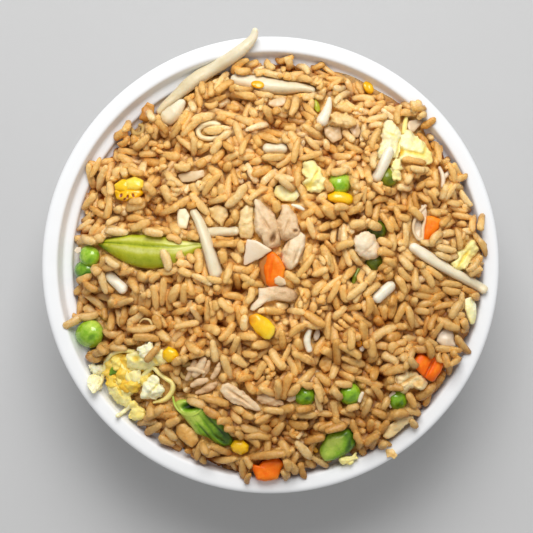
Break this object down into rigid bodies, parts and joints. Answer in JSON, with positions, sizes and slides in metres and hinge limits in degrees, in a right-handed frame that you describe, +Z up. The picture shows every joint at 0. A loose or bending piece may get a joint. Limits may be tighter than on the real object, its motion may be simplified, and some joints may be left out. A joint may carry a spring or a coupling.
{
  "type": "bowl of fried rice",
  "caption": "Round white disposable bowl heaped with fried rice, with bean sprouts, peas, sweetcorn, carrot, egg, meat and green pods on top.",
  "frame": {"origin": "centre of the flat underside of the bowl's base, which stands on z = 0", "axes": "+Z up out of the bowl, +Y towards the side where a bean sprout hangs over the rim, +X to the right of the picture"},
  "size_m": [0.15, 0.1527, 0.0612],
  "materials": {
    "bowl": "smooth matte white moulded fibre",
    "rice": "oiled cooked rice, tan, soft sheen",
    "sprout": "wet, pale, slightly translucent",
    "pea": "glossy, bright green",
    "corn": "glossy yellow",
    "carrot": "moist cut orange",
    "pod": "satin yellow-green skin",
    "egg": "soft set egg, pale yellow to cream",
    "curd": "browned egg curd",
    "meat": "cooked poultry, fibrous",
    "onion": "moist, pale, translucent"
  },
  "bodies": {
    "root": {"bowl": "bowl", "rice_heap": "rice", "sprout_01": "sprout", "sprout_02": "sprout", "sprout_03": "sprout", "sprout_04": "sprout", "sprout_05": "sprout", "sprout_06": "sprout", "sprout_07": "sprout", "sprout_08": "sprout", "sprout_09": "sprout", "sprout_10": "sprout", "sprout_11": "sprout", "pod_whole": "pod", "pod_split": "pod", "pod_piece": "pod", "onion_01": "onion", "onion_02": "onion", "onion_03": "onion", "meat_02": "meat", "meat_01": "meat", "meat_03": "meat", "meat_04": "meat", "meat_05": "meat", "meat_06": "meat", "meat_07": "meat", "meat_08": "meat", "pea_01": "pea", "pea_02": "pea", "pea_03": "pea", "pea_04": "pea", "pea_05": "pea", "pea_06": "pea", "pea_07": "pea", "pea_08": "pea", "pea_09": "pea", "pea_10": "pea", "corn_01": "corn", "corn_02": "corn", "corn_03": "corn", "corn_04": "corn", "corn_05": "corn", "carrot_01": "carrot", "carrot_02": "carrot", "carrot_03": "carrot", "carrot_04": "carrot", "egg_01": "egg", "egg_02": "egg", "egg_03": "egg", "egg_ribbon": "egg", "egg_strand": "egg", "egg_06": "egg", "egg_04": "egg", "egg_05": "egg", "egg_07": "egg", "egg_08": "egg", "egg_09": "egg", "curd_01": "curd", "curd_02": "curd", "husk_ring": "onion"}
  },
  "joints": []
}
